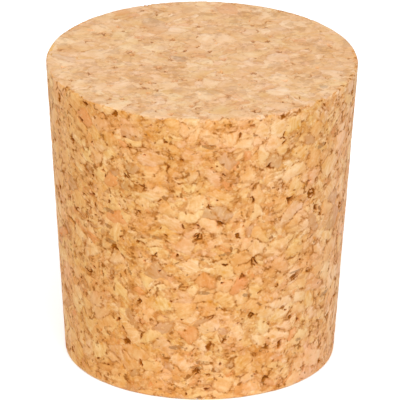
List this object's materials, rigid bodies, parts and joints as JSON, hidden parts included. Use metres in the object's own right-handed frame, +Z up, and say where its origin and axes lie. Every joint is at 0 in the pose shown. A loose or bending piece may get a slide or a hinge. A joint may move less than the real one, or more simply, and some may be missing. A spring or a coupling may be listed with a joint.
{
  "type": "cork stopper",
  "caption": "Tapered round plug of pressed cork granules that closes the mouth of a bottle, flask or jar, with flat ends and small open pores.",
  "frame": {"origin": "middle of the flat narrow end, which the stopper stands on", "axes": "+Z up along the axis of the taper, towards the wide end; X and Y are alike, and the widest pores show at no particular side"},
  "size_m": [0.045, 0.045, 0.045],
  "materials": {
    "cork": "ground agglomerated cork, matt, granules in cream, peach and tan with dark open pores"
  },
  "bodies": {
    "root": {"stopper": "cork"}
  },
  "joints": []
}
